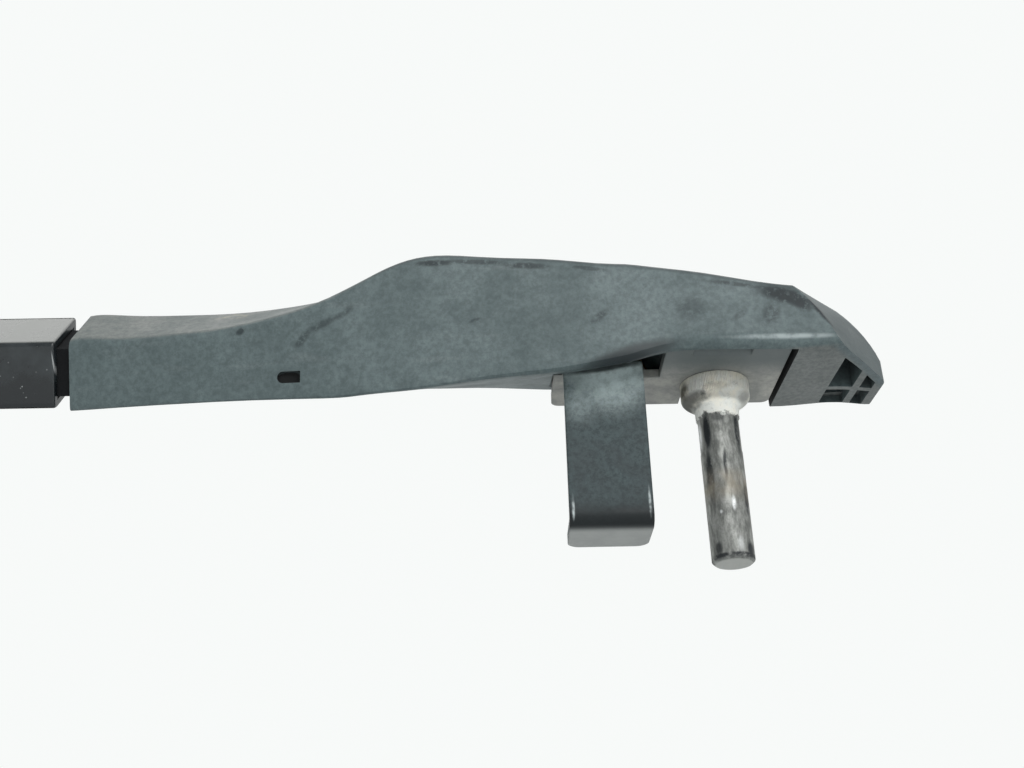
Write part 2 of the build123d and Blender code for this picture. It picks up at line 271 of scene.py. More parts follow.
def makeSurround(values):
    # the camera sees white all round; reflections see white behind the arm and grey before it
    world = bpy.data.worlds.new("surround")
    world.use_nodes = True
    scene.world = world
    tree = world.node_tree
    tree.nodes.clear()
    seen = tree.nodes.new("ShaderNodeBackground")
    seen.inputs["Color"].default_value = (*values["surround"], 1)
    mirrored = tree.nodes.new("ShaderNodeBackground")
    way = tree.nodes.new("ShaderNodeTexCoord").outputs["Generated"]
    behind = ease(tree, axisOf(tree, way, 1), *values["behindSpan"])
    sides = blendColour(tree, behind, values["nearSide"], values["surround"])
    tree.links.new(sides, mirrored.inputs["Color"])
    fill = tree.nodes.new("ShaderNodeBackground")
    fill.inputs["Color"].default_value = (*values["fillColour"], 1)
    fill.inputs["Strength"].default_value = values["fill"]
    camera, shiny = rays(tree)
    unseen = mixShaders(tree, shiny, fill, mirrored)
    out = tree.nodes.new("ShaderNodeOutputWorld")
    tree.links.new(mixShaders(tree, camera, unseen, seen).outputs[0], out.inputs[0])


def makeBoxes(values):
    aim = Vector(values["aim"])
    for name, box in values["boxes"].items():
        lamp = bpy.data.lights.new(name, "AREA")
        lamp.shape = "RECTANGLE"
        lamp.size, lamp.size_y = box["size"]
        lamp.energy = box["watts"]
        lampObject = bpy.data.objects.new(name, lamp)
        scene.collection.objects.link(lampObject)
        lampObject.location = box["place"]
        facing = (aim - Vector(box["place"])).to_track_quat("-Z", "Y")
        lampObject.rotation_euler = facing.to_euler()


makeSurround(studio)
makeBoxes(studio)
print("studio lit")


# In the finishes below, a noise is given as scale, detail, roughness and distortion. A span is
# given as two limits, and where they aren't 0 and 1, the values at them. A spot is given as
# centre and half sizes in mm, turn in degrees and the share of it that has no fade.

# weathered moulding of the arm
armFinish = {
    "dark": (0.084, 0.114, 0.116),
    "light": (0.126, 0.166, 0.168),
    "cloud": (90, 6, 0.68, 0.3),
    "cloudSpan": (0.32, 0.68),
    "bloom": (0.22, 0.25, 0.25),
    "bloomStretch": (40, 420, 420),
    "bloomNoise": (1.0, 3, 0.6),
    "bloomSpan": (0.58, 0.75, 0.0, 0.22),
    # painted shade towards the left end
    "leftShade": (-85, -125, 0.0, 0.45),  # mm along X
    "underside": (0.180, 0.183, 0.172),
    "underFacing": (-0.8, -0.97),
    "underFrom": (10, 14),  # mm along X
    "underAmount": 0.75,
    "pocketRim": (0.115, 0.150, 0.156),
    "rimSlant": (0.787, 0.622),  # shares of X and of -Y in the line that crosses the nose
    "rimFrom": (24.8, 26.4),  # mm along that line
    # dust, and painted light on what faces up
    "dustAndLight": (0.180, 0.181, 0.160),
    "dustAndLightFacing": (0.15, 0.6),
    "dustAndLightSpan": (0.25, 0.7, 0.3, 0.75),
    "dustAndLightAlong": (-45, -100, 0.15, 1.0),  # mm along X
    "topEdge": (0.036, 0.045, 0.047),
    "topFacing": ((0.08, 0.4), (0.97, 0.7, 0.25, 0.6)),
    "topFrom": (-76, -62),  # mm along X
    # painted shade on the nose flanks
    "flank": (0.058, 0.074, 0.076),
    "flankFacing": (0.2, 0.6),
    "flankFrom": (6, 14, 0.0, 0.82),  # mm along X
    "pore": (0.040, 0.057, 0.059),
    "grain": (900, 6, 0.8),
    "poreSpan": (0.36, 0.64, 0.0, 0.55),
    # painted highlight along the near wall's lower edge
    "rubbed": (0.38, 0.43, 0.43),
    "highlightLine": ((10.5, -17.2, 6.9), (14.0, 1.5, 0.75), (0, 0, 0), 0.2),
    "highlightNoise": (500, 3),
    "highlightSpan": (0.25, 0.6, 0.2, 0.85),
    # painted shade along the lower edges
    "lowShade": ((-16.6, -17.2, 4.2), (10.5, 3.2, 2.3), (0, -14, 0)),
    "lowAmount": 0.95,
    "stain": (0.36, 0.33, 0.22),
    "stainSpot": ((-95.2, -3.2, 21.2), (5.0, 4.5, 4.0)),
    "stainNoise": (420, 3),
    "stainSpan": (0.4, 0.7),
    "stainAmount": 0.55,
    "legShade": ((-21.0, -16.8, 2.5), (9.5, 3.0, 1.9), (0, -11.5, 0)),
    "legAmount": 0.8,
    "scuffAndShadow": (0.007, 0.014, 0.017),
    "tear": (700, 5, 0.72),
    "tearSpan": (0.33, 0.52),
    "scuffs": [  # centre, half sizes, turn about Y, strength
        ((-54.4, -18.8, 23.2), (5.0, 3.0, 0.9), 0, 0.85),
        ((-46.5, -18.9, 23.2), (7.5, 3.0, 0.8), 4, 0.7),
        ((-37.0, -19.1, 22.0), (6.0, 3.0, 0.9), 4, 0.75),
        ((-25.0, -18.8, 21.6), (4.5, 3.0, 0.7), 5, 0.6),
        ((-91.2, -13.6, 11.9), (1.3, 3.0, 0.9), -30, 0.8),
        ((-79.3, -14.0, 9.6), (2.8, 4.0, 1.1), -48, 0.6),
        ((-75.6, -15.0, 12.2), (3.8, 4.0, 1.0), -24, 0.6),
        ((-71.4, -16.0, 14.2), (3.0, 4.0, 1.0), -34, 0.5),
        ((-46.8, -17.2, 11.4), (1.6, 2.0, 0.45), -20, 0.55),
        ((-23.6, -17.9, 11.4), (2.8, 2.0, 1.0), -42, 0.6),
        ((-6.4, -17.5, 13.2), (3.6, 2.0, 3.9), 25, 0.4),
        ((2.6, -17.5, 11.4), (2.4, 2.0, 0.9), -35, 0.45),
        ((2.5, -18.4, 18.2), (9.0, 3.0, 0.8), 9, 0.7),
        ((11.4, -17.5, 15.6), (7.0, 3.5, 2.4), 16, 1.0),
        ((14.2, -17.5, 14.0), (3.6, 3.5, 2.0), 40, 0.95),
        ((8.6, -17.5, 11.6), (2.2, 3.0, 3.2), 20, 0.6),
        ((18.0, -17.4, 11.6), (5.6, 3.0, 0.9), 56, 1.0),
    ],
    # grime and painted shade in hollows and gaps
    "grimeAndShade": (0.014, 0.015, 0.015),
    "creviceReach": 7.0,
    "creviceSpan": (0.75, 0.25),
    "creviceAmount": 0.55,
    "slotFloor": ((-81.8, -10.6, 3.1), (2.9, 0.95, 1.6), (0, 0, 0), 0.8),
    "slitFacing": (-0.6, -0.9),
    "slitAlong": ((11, 12.8), (14.6, 13.8)),  # mm along X
    # painted shade: the spigot in the dark gap before the bar
    "spigotDark": (0.004, 0.005, 0.006),
    "spigotFrom": (-124.7, -124.8),  # mm along X
    "roughSpan": (0.3, 0.7, 0.62, 0.5),
    "roughInHollows": 0.45,
    "specular": 0.42,
    "grainDepth": 0.035,
    "swell": (240, 3),
    "swellDepth": 0.05,
}


def makeArmFinish(values):
    finish, tree, shader, place = startFinish("armMoulding")
    facing = facingOf(tree)
    endwise, depth = axisOf(tree, place, 0), axisOf(tree, place, 1)
    endFacing, lift = axisOf(tree, facing, 0), axisOf(tree, facing, 2)
    cloud = noise(tree, place, *values["cloud"])
    grain = noise(tree, place, *values["grain"])
    clouded = ease(tree, cloud, *values["cloudSpan"])
    colour = blendColour(tree, clouded, values["dark"], values["light"])
    bloom = noise(tree, stretched(tree, place, values["bloomStretch"]), *values["bloomNoise"])
    colour = blendColour(tree, ease(tree, bloom, *values["bloomSpan"]), colour, values["bloom"])
    # painted shade: the arm darkens towards its left end, where the light falls off
    paintedLeftShade = easeMm(tree, endwise, *values["leftShade"])
    colour = blendColour(tree, paintedLeftShade, colour, values["dark"])
    # greyer under the nose, bluer again on the rim outside its pockets
    below = ease(tree, lift, *values["underFacing"])
    below = times(tree, below, easeMm(tree, endwise, *values["underFrom"]))
    under = times(tree, below, values["underAmount"])
    colour = blendColour(tree, under, colour, values["underside"])
    shareX, shareY = values["rimSlant"]
    slant = maths(tree, "SUBTRACT", times(tree, endwise, shareX), times(tree, depth, shareY))
    outer = times(tree, below, easeMm(tree, slant, *values["rimFrom"]))
    colour = blendColour(tree, outer, colour, values["pocketRim"])
    # pale dust and painted light on what faces up
    dustAndLit = ease(tree, lift, *values["dustAndLightFacing"])
    dustAndLit = times(tree, dustAndLit, ease(tree, cloud, *values["dustAndLightSpan"]))
    dustAndLit = times(tree, dustAndLit, easeMm(tree, endwise, *values["dustAndLightAlong"]))
    colour = blendColour(tree, dustAndLit, colour, values["dustAndLight"])
    # the crest's upper edge is darker, and painted shade darkens the flanks of the nose
    rise, fall = (ease(tree, lift, *span) for span in values["topFacing"])
    edge = times(tree, rise, fall, easeMm(tree, endwise, *values["topFrom"]))
    colour = blendColour(tree, edge, colour, values["topEdge"])
    aside = ease(tree, endFacing, *values["flankFacing"])
    aside = times(tree, aside, easeMm(tree, endwise, *values["flankFrom"]))
    colour = blendColour(tree, aside, colour, values["flank"])
    colour = blendColour(tree, ease(tree, grain, *values["poreSpan"]), colour, values["pore"])
    # painted highlight line, painted shade on the lower edges, stain
    patchy = ease(tree, noise(tree, place, *values["highlightNoise"]), *values["highlightSpan"])
    wearAndSheen = times(tree, patch(tree, place, *values["highlightLine"]), patchy)
    colour = blendColour(tree, wearAndSheen, colour, values["rubbed"])
    low = times(tree, patch(tree, place, *values["lowShade"]), values["lowAmount"])
    colour = blendColour(tree, low, colour, values["topEdge"])
    spread = ease(tree, noise(tree, place, *values["stainNoise"]), *values["stainSpan"])
    stained = patch(tree, place, *values["stainSpot"])
    stained = times(tree, stained, spread, values["stainAmount"])
    colour = blendColour(tree, stained, colour, values["stain"])
    # painted shadow along the arm's lower edge above the leg
    atLeg = times(tree, patch(tree, place, *values["legShade"]), values["legAmount"])
    colour = blendColour(tree, atLeg, colour, values["scuffAndShadow"])
    # dark scuffs, torn by a fine noise
    torn = ease(tree, noise(tree, place, *values["tear"]), *values["tearSpan"])
    for centre, half, turn, strength in values["scuffs"]:
        mark = times(tree, patch(tree, place, centre, half, (0, turn, 0)), torn, strength)
        colour = blendColour(tree, mark, colour, values["scuffAndShadow"])
    # grime and painted shade in crevices, and painted shade in the slot, in the slit beside the
    # plate and on the spigot
    closed = crevice(tree, values["creviceReach"], values["creviceSpan"])
    closed = times(tree, closed, values["creviceAmount"])
    slot = patch(tree, place, *values["slotFloor"])
    slit = times(tree, *(easeMm(tree, endwise, *span) for span in values["slitAlong"]))
    slit = times(tree, ease(tree, endFacing, *values["slitFacing"]), slit)
    spigot = easeMm(tree, endwise, *values["spigotFrom"])
    grimeAndShadeMask = most(tree, closed, slot, spigot, slit)
    colour = blendColour(tree, grimeAndShadeMask, colour, values["grimeAndShade"])
    colour = blendColour(tree, spigot, colour, values["spigotDark"])
    tree.links.new(colour, shader.inputs["Base Color"])
    rough = ease(tree, cloud, *values["roughSpan"])
    rough = maths(tree, "ADD", rough, times(tree, grimeAndShadeMask, values["roughInHollows"]))
    tree.links.new(rough, shader.inputs["Roughness"])
    shader.inputs["Specular IOR Level"].default_value = values["specular"]
    fine = bump(tree, grain, values["grainDepth"])
    swell = noise(tree, place, *values["swell"])
    tree.links.new(bump(tree, swell, values["swellDepth"], fine), shader.inputs["Normal"])
    return finish


# gloss black bar with settled dust and painted sheen on top, and a painted highlight on its end
# rim
barFinish = {
    "black": (0.009, 0.012, 0.014),
    "haze": (0.030, 0.037, 0.040),
    "cloud": (120, 4, 0.6),
    "hazeSpan": (0.35, 0.7),
    "dustAndLight": (0.30, 0.305, 0.285),
    "dustAndLightFacing": (0.2, 0.6),
    "dustAndLightSpan": (0.3, 0.7, 0.54, 0.68),
    "speck": (0.24, 0.25, 0.25),
    "speckCells": 760,
    "speckSpan": (0.15, 0.07),
    "speckNoise": (260, 1),
    "speckChosen": (0.50, 0.57),
    # painted highlight on the bar's end rim
    "rim": (0.30, 0.31, 0.31),
    "rimSpot": ((-127.7, -8.4, 8.2), (0.17, 3.2, 3.2), (0, -8, 0)),
    "rimSpan": (0.3, 0.6, 0.4, 1.0),
    "roughSpan": (0.3, 0.7, 0.22, 0.36),
    "ripple": (700, 2),
    "rippleDepth": 0.008,
}


def makeBarFinish(values):
    finish, tree, shader, place = startFinish("barGloss")
    facing = facingOf(tree)
    cloud = noise(tree, place, *values["cloud"])
    hazy = ease(tree, cloud, *values["hazeSpan"])
    colour = blendColour(tree, hazy, values["black"], values["haze"])
    # pale dust and painted sheen on what faces up
    upward = ease(tree, axisOf(tree, facing, 2), *values["dustAndLightFacing"])
    dustAndLit = times(tree, upward, ease(tree, cloud, *values["dustAndLightSpan"]))
    colour = blendColour(tree, dustAndLit, colour, values["dustAndLight"])
    specks = ease(tree, cells(tree, place, values["speckCells"]), *values["speckSpan"])
    chosen = ease(tree, noise(tree, place, *values["speckNoise"]), *values["speckChosen"])
    colour = blendColour(tree, times(tree, specks, chosen), colour, values["speck"])
    # painted highlight on the rounded rim at the bar's end
    rim = patch(tree, place, *values["rimSpot"])
    rim = times(tree, rim, ease(tree, cloud, *values["rimSpan"]))
    colour = blendColour(tree, rim, colour, values["rim"])
    tree.links.new(colour, shader.inputs["Base Color"])
    tree.links.new(ease(tree, cloud, *values["roughSpan"]), shader.inputs["Roughness"])
    ripple = noise(tree, place, *values["ripple"])
    tree.links.new(bump(tree, ripple, values["rippleDepth"]), shader.inputs["Normal"])
    return finish


# painted sheet of the head, worn and with painted sheen on the leg's upper part, dirty on the
# plate, with painted shade, shadow and highlights
headFinish = {
    "paint": (0.034, 0.052, 0.055),
    "paintLight": (0.056, 0.080, 0.083),
    "cloud": (160, 5, 0.65, 0.4),
    "cloudSpan": (0.34, 0.68),
    # worn paint and painted sheen
    "wearAndSheen": (0.52, 0.62, 0.615),
    "wearAndSheenSpot": ((-22.0, -8.6, 6.5), (14.0, 7.0, 13.5), (0, 0, 0), 0.25),
    "wearAndSheenCorner": ((-27.4, -9.2, 0.5), (6.0, 4.0, 9.0), (0, 0, 0), 0.0),
    "cornerAmount": 0.6,
    "wearAndSheenNoise": (620, 5, 0.72),
    "wearAndSheenSpan": (0.30, 0.62, 0.7, 1.0),
    "pore": (0.008, 0.013, 0.015),
    "grain": (1000, 6, 0.8),
    "poreSpan": (0.38, 0.66, 0.0, 0.62),
    "dirt": (0.42, 0.41, 0.375),
    "dirtDark": (0.22, 0.225, 0.21),
    "dirtSpan": (0.3, 0.7),
    # painted shadow towards the plate's near edge
    "shade": (0.085, 0.105, 0.108),
    "shadeAlong": (-1.0, -11.0, 0.0, 0.85),  # mm along Y
    "shadeGrain": (0.4, 0.66, 0.0, 0.25),
    "plateFrom": (4.9, 5.5),  # mm along Z
    "legFrom": ((-13.5, -14.5), (-5.4, -6.2)),  # mm along X and Y
    # painted shadow line under the arm's edge
    "topLine": ((-22.6, -9.2, 5.1), (9.5, 3.0, 1.1), (0, -8.7, 0)),
    "topAmount": 0.85,
    # painted shade
    "paintedShade": (0.010, 0.012, 0.013),
    "bendFrom": (-20.5, -25.0),  # mm along Z
    "bendAmount": 0.9,
    # painted light on the foot
    "foot": (0.37, 0.38, 0.365),
    "footFrom": (-8.2, -4.8),  # mm along Y
    "footFacing": (-0.6, -0.95),
    "footSpan": (0.3, 0.7, 0.75, 1.0),
    "rubbed": (0.56, 0.62, 0.62),
    "highlightNoise": (600, 3),
    "highlightSpan": (0.3, 0.55, 0.2, 0.9),
    # painted highlights on the leg's rounded edges
    "rubbedEdges": [
        ((-29.55, -9.2, -23.0), (0.36, 1.4, 3.0), (0, 0, 0), 0.2),
        ((-15.75, -9.2, -22.0), (0.32, 1.4, 3.6), (0, 0, 0), 0.2),
    ],
    "roughSpan": (0.3, 0.7, 0.42, 0.55),
    "specular": 0.25,
    "edge": 0.5,
    "edgeSamples": 6,
    "grainDepth": 0.016,
    "swell": (260, 3),
    "swellDepth": 0.03,
}


def makeHeadFinish(values):
    finish, tree, shader, place = startFinish("headPaint")
    facing = facingOf(tree)
    across, depth, height = (axisOf(tree, place, axis) for axis in range(3))
    cloud = noise(tree, place, *values["cloud"])
    grain = noise(tree, place, *values["grain"])
    clouded = ease(tree, cloud, *values["cloudSpan"])
    colour = blendColour(tree, clouded, values["paint"], values["paintLight"])
    # paint rubbed thin on the leg's upper part, with painted sheen there, where it shows fewer
    # pores
    corner = times(tree, patch(tree, place, *values["wearAndSheenCorner"]), values["cornerAmount"])
    wearAndSheen = most(tree, patch(tree, place, *values["wearAndSheenSpot"]), corner)
    patchy = ease(tree, noise(tree, place, *values["wearAndSheenNoise"]), *values["wearAndSheenSpan"])
    wearAndSheenMask = times(tree, wearAndSheen, patchy)
    colour = blendColour(tree, wearAndSheenMask, colour, values["wearAndSheen"])
    pores = ease(tree, grain, *values["poreSpan"])
    pores = times(tree, pores, maths(tree, "SUBTRACT", 1.0, wearAndSheenMask))
    colour = blendColour(tree, most(tree, pores, 0.0), colour, values["pore"])
    # brown film on the plate, with painted shadow darkening it towards its near edge under the
    # arm
    legX, legY = values["legFrom"]
    leg = times(tree, easeMm(tree, across, *legX), easeMm(tree, depth, *legY))
    plate = maths(tree, "SUBTRACT", easeMm(tree, height, *values["plateFrom"]), leg)
    filmed = ease(tree, cloud, *values["dirtSpan"])
    dirt = blendColour(tree, filmed, values["dirtDark"], values["dirt"])
    near = easeMm(tree, depth, *values["shadeAlong"])
    dirt = blendColour(tree, near, dirt, values["shade"])
    dirt = blendColour(tree, ease(tree, grain, *values["shadeGrain"]), dirt, values["shade"])
    colour = blendColour(tree, most(tree, plate, 0.0), colour, dirt)
    # painted shadow line under the arm's edge, painted shade in the bend, painted light on the
    # foot's down-facing face and painted highlights on the edges
    top = times(tree, patch(tree, place, *values["topLine"]), values["topAmount"])
    colour = blendColour(tree, top, colour, values["paintedShade"])
    lowPart = easeMm(tree, height, *values["bendFrom"])
    beyond = easeMm(tree, depth, *values["footFrom"])
    bend = times(tree, lowPart, maths(tree, "SUBTRACT", values["bendAmount"], beyond))
    colour = blendColour(tree, most(tree, bend, 0.0), colour, values["paintedShade"])
    foot = ease(tree, axisOf(tree, facing, 2), *values["footFacing"])
    foot = times(tree, foot, lowPart, beyond, ease(tree, cloud, *values["footSpan"]))
    colour = blendColour(tree, foot, colour, values["foot"])
    broken = ease(tree, noise(tree, place, *values["highlightNoise"]), *values["highlightSpan"])
    for spot in values["rubbedEdges"]:
        streak = times(tree, patch(tree, place, *spot), broken)
        colour = blendColour(tree, streak, colour, values["rubbed"])
    tree.links.new(colour, shader.inputs["Base Color"])
    tree.links.new(ease(tree, cloud, *values["roughSpan"]), shader.inputs["Roughness"])
    shader.inputs["Specular IOR Level"].default_value = values["specular"]
    # sheared edges catch the light as if slightly rounded
    roundedEdge = tree.nodes.new("ShaderNodeBevel")
    roundedEdge.samples = values["edgeSamples"]
    roundedEdge.inputs["Radius"].default_value = values["edge"] * mm
    fine = bump(tree, grain, values["grainDepth"], roundedEdge.outputs[0])
    swell = noise(tree, place, *values["swell"])
    tree.links.new(bump(tree, swell, values["swellDepth"], fine), shader.inputs["Normal"])
    return finish


# worn steel shank of the spindle; heights in mm
shankFinish = {
    "steel": (0.315, 0.323, 0.305),
    "steelDark": (0.135, 0.140, 0.132),
    "drawnStretch": (820, 820, 260),
    "drawnNoise": (1.0, 5, 0.72),
    "drawnSpan": (0.34, 0.66),
    "mottle": (1500, 4, 0.75),
    "mottleSpan": (0.5, 0.66, 0.0, 0.4),
    "oxide": (0.012, 0.015, 0.017),
    "raggedStretch": (900, 900, 300),
    "raggedNoise": (1.0, 5, 0.75),
    "raggedSpan": (0.36, 0.48, 0.35, 1.0),
    "streakCore": 0.45,
    "streaks": [  # centre, half sizes, strength
        ((-2.95, -2.7, -5.6), (1.0, 1.5, 5.4), 1.0),
        ((2.95, -2.75, -5.4), (0.9, 1.4, 5.8), 1.0),
        ((-3.1, -2.5, -14.5), (0.9, 1.6, 7.0), 0.95),
        ((3.2, -2.4, -19.2), (0.9, 1.5, 4.8), 1.0),
        ((2.85, -2.8, -29.2), (1.1, 1.6, 1.9), 1.0),
        ((-2.95, -2.7, -29.0), (0.8, 1.3, 1.7), 0.8),
        ((-0.9, -3.9, -2.9), (1.9, 1.0, 1.3), 0.6),
        ((-0.3, -4.0, -12.8), (0.5, 1.0, 3.6), 0.85),
    ],
    "rust": (0.30, 0.265, 0.205),
    "rustHeight": -16.7,
    "rustReach": (4.2, 0.3),
    "rustSpan": (0.34, 0.62, 0.2, 1.0),
    "rustAmount": 0.55,
    "ringHeight": -30.35,
    "ringReach": (0.62, 0.186),
    "ringNoise": (520, 4, 0.7),
    "ringSpan": (0.38, 0.56, 0.1, 0.95),
    "endGrey": (0.40, 0.405, 0.38),
    "endFacing": (-0.75, -0.95),
    "bright": (0.80, 0.82, 0.82),
    "glintGapNoise": (900, 4, 0.7),
    "glintGapSpan": (0.36, 0.54, 0.5, 1.0),
    # painted highlights
    "glintCore": 0.2,
    "glints": [  # centre, half sizes, strength
        ((0.45, -3.98, -20.6), (0.58, 0.7, 1.9), 0.9),
        ((-2.0, -3.5, -22.1), (0.4, 0.5, 0.55), 0.6),
        ((0.95, -3.9, -28.4), (1.0, 0.9, 2.0), 0.4),
        ((-3.9, -0.7, -5.8), (0.55, 1.2, 4.4), 0.9),
    ],
}


def paintShank(tree, place, facing, cloud, drawn, values):
    height = axisOf(tree, place, 2)
    brushed = ease(tree, drawn, *values["drawnSpan"])
    colour = blendColour(tree, brushed, values["steelDark"], values["steel"])
    mottled = ease(tree, noise(tree, place, *values["mottle"]), *values["mottleSpan"])
    colour = blendColour(tree, mottled, colour, values["steelDark"])
    # black streaks, then rust in a ring round the middle
    ragged = noise(tree, stretched(tree, place, values["raggedStretch"]), *values["raggedNoise"])
    ragged = ease(tree, ragged, *values["raggedSpan"])
    streaks = []
    for centre, half, strength in values["streaks"]:
        mark = patch(tree, place, centre, half, core=values["streakCore"])
        streaks.append(times(tree, mark, ragged, strength))
    black = most(tree, *streaks)
    colour = blendColour(tree, black, colour, values["oxide"])
    offRust = maths(tree, "SUBTRACT", height, values["rustHeight"] * mm)
    rust = easeMm(tree, maths(tree, "ABSOLUTE", offRust), *values["rustReach"])
    rust = times(tree, rust, ease(tree, cloud, *values["rustSpan"]), values["rustAmount"])
    colour = blendColour(tree, rust, colour, values["rust"])
    # broken dark ring above the pale end face
    offRing = maths(tree, "SUBTRACT", height, values["ringHeight"] * mm)
    ring = easeMm(tree, maths(tree, "ABSOLUTE", offRing), *values["ringReach"])
    gaps = ease(tree, noise(tree, place, *values["ringNoise"]), *values["ringSpan"])
    ring = times(tree, ring, gaps)
    colour = blendColour(tree, ring, colour, values["oxide"])
    endFace = ease(tree, axisOf(tree, facing, 2), *values["endFacing"])
    colour = blendColour(tree, endFace, colour, values["endGrey"])
    # painted highlights: bright glints, broken up by a fine noise
    glintGaps = ease(tree, noise(tree, place, *values["glintGapNoise"]), *values["glintGapSpan"])
    for centre, half, strength in values["glints"]:
        glint = patch(tree, place, centre, half, core=values["glintCore"])
        glint = times(tree, glint, glintGaps, strength)
        colour = blendColour(tree, glint, colour, values["bright"])
    return colour, black, endFace, ring


# corroded, knurled collar of the spindle and the cone below it; heights in mm
collarFinish = {
    "edgeNoise": (560, 4, 0.68),
    "edgeReach": 3.4,
    "edgeHeight": (-0.65, -0.15),
    "crust": (0.96, 0.92, 0.80),
    "crustPale": (0.86, 0.87, 0.82),
    "crustSpan": (0.35, 0.65),
    "frayNoise": (380, 4, 0.65),
    "frayReach": 1.8,
    "paleHeight": (1.45, 0.7),
    "paleSpan": (0.3, 0.6, 0.45, 1.0),
    "crustDirt": (0.64, 0.58, 0.44),
    "topHeight": (4.2, 5.4),
    "topSpan": (0.3, 0.6, 0.05, 0.28),
    "knurls": 130,
    "wanderNoise": (260, 3),
    "wanderReach": 9.0,
    "knurlHeight": (0.3, 1.1),
    "knurlSpan": (0.1, -0.9, 0.0, 0.30),
    # painted shade on the cone's left side
    "coneDark": (0.095, 0.10, 0.098),
    "coneHeight": ((-0.6, 0.3), (2.6, 1.7)),
    "coneLeft": (-2.4, -5.0),  # mm along X
    "tearNoise": (430, 4, 0.65),
    "tearReach": 5.0,
    "coneAmount": 0.8,
    "blotSpan": (0.32, 0.56, 0.15, 1.0),
    # painted shade under the collar and on the cone's left, a painted shadow on the collar's left
    # side, and tan dirt in front
    "shadesAndSmudges": [  # centre, half sizes, colour, strength
        ((5.0, -3.0, 1.6), (2.2, 2.8, 1.3), (0.30, 0.30, 0.285), 0.6),
        ((-3.2, -4.6, 1.1), (1.9, 2.2, 1.1), (0.045, 0.050, 0.050), 0.8),
        ((-6.4, -1.6, 3.4), (1.6, 2.8, 2.4), (0.10, 0.088, 0.06), 0.85),
        ((-1.0, -6.2, 2.4), (3.4, 1.8, 1.0), (0.34, 0.30, 0.21), 0.55),
    ],
    "speck": (0.17, 0.155, 0.125),
    "speckNoise": (1100, 5, 0.8),
    "speckSpan": (0.52, 0.74, 0.0, 0.5),
}


def paintCollar(tree, place, cloud, values):
    across, depth, height = (axisOf(tree, place, axis) for axis in range(3))
    ragged = times(tree, noise(tree, place, *values["edgeNoise"]), values["edgeReach"] * mm)
    collar = easeMm(tree, maths(tree, "ADD", height, ragged), *values["edgeHeight"])
    crusted = ease(tree, cloud, *values["crustSpan"])
    crust = blendColour(tree, crusted, values["crust"], values["crustPale"])
    frayed = times(tree, noise(tree, place, *values["frayNoise"]), values["frayReach"] * mm)
    pale = easeMm(tree, maths(tree, "ADD", height, frayed), *values["paleHeight"])
    pale = times(tree, pale, ease(tree, cloud, *values["paleSpan"]))
    crust = blendColour(tree, pale, crust, values["crustPale"])
    top = easeMm(tree, height, *values["topHeight"])
    top = times(tree, top, ease(tree, cloud, *values["topSpan"]))
    crust = blendColour(tree, top, crust, values["crustDirt"])
    # fine upright lines: a sine of the angle round Z, wandering a little
    angle = maths(tree, "ARCTAN2", depth, across)
    wander = times(tree, noise(tree, place, *values["wanderNoise"]), values["wanderReach"])
    lines = maths(tree, "ADD", times(tree, angle, values["knurls"]), wander)
    onCollar = easeMm(tree, height, *values["knurlHeight"])
    knurl = times(tree, maths(tree, "SINE", lines), onCollar)
    dirty = ease(tree, knurl, *values["knurlSpan"])
    crust = blendColour(tree, dirty, crust, values["crustDirt"])
    # painted shade darkens the cone's left side, with a torn border
    torn = maths(tree, "SUBTRACT", noise(tree, place, *values["tearNoise"]), 0.5)
    torn = times(tree, torn, values["tearReach"] * mm)
    paintedLeftShade = easeMm(tree, maths(tree, "ADD", across, torn), *values["coneLeft"])
    onCone = times(tree, *(easeMm(tree, height, *span) for span in values["coneHeight"]))
    shaded = times(tree, onCone, paintedLeftShade, values["coneAmount"])
    crust = blendColour(tree, shaded, crust, values["coneDark"])
    # spots of painted shade and shadow, and of dirt
    blotchy = ease(tree, cloud, *values["blotSpan"])
    for centre, half, shade, strength in values["shadesAndSmudges"]:
        blot = times(tree, patch(tree, place, centre, half), blotchy, strength)
        crust = blendColour(tree, blot, crust, shade)
    pocked = ease(tree, noise(tree, place, *values["speckNoise"]), *values["speckSpan"])
    crust = blendColour(tree, pocked, crust, values["speck"])
    return crust, collar, knurl


# what shank and collar of the spindle share
pinFinish = {
    "cloud": (300, 4, 0.6),
    "metal": 0.6,
    "roughSpan": (0.3, 0.7, 0.62, 0.46),
    "collarRough": 0.38,
    "specular": 0.28,
    "drawnDepth": 0.03,
    "pits": (1100, 3, 0.7),
    "pitDepth": 0.22,
    "knurlDepth": 0.10,
}


def makePinFinish(values, shank, collar):
    finish, tree, shader, place = startFinish("spindleSteel")
    facing = facingOf(tree)
    cloud = noise(tree, place, *values["cloud"])
    drawn = noise(tree, stretched(tree, place, shank["drawnStretch"]), *shank["drawnNoise"])
    steel, black, endFace, ring = paintShank(tree, place, facing, cloud, drawn, shank)
    crust, crusted, knurl = paintCollar(tree, place, cloud, collar)
    tree.links.new(blendColour(tree, crusted, steel, crust), shader.inputs["Base Color"])
    covered = most(tree, crusted, black, endFace, ring)
    bare = times(tree, maths(tree, "SUBTRACT", 1.0, covered), values["metal"])
    tree.links.new(bare, shader.inputs["Metallic"])
    rough = ease(tree, drawn, *values["roughSpan"])
    rough = maths(tree, "ADD", rough, times(tree, crusted, values["collarRough"]))
    tree.links.new(rough, shader.inputs["Roughness"])
    shader.inputs["Specular IOR Level"].default_value = values["specular"]
    fine = bump(tree, drawn, values["drawnDepth"])
    pits = times(tree, crusted, noise(tree, place, *values["pits"]))
    pitted = bump(tree, pits, values["pitDepth"], fine)
    ridged = bump(tree, times(tree, knurl, crusted), values["knurlDepth"], pitted)
    tree.links.new(ridged, shader.inputs["Normal"])
    return finish


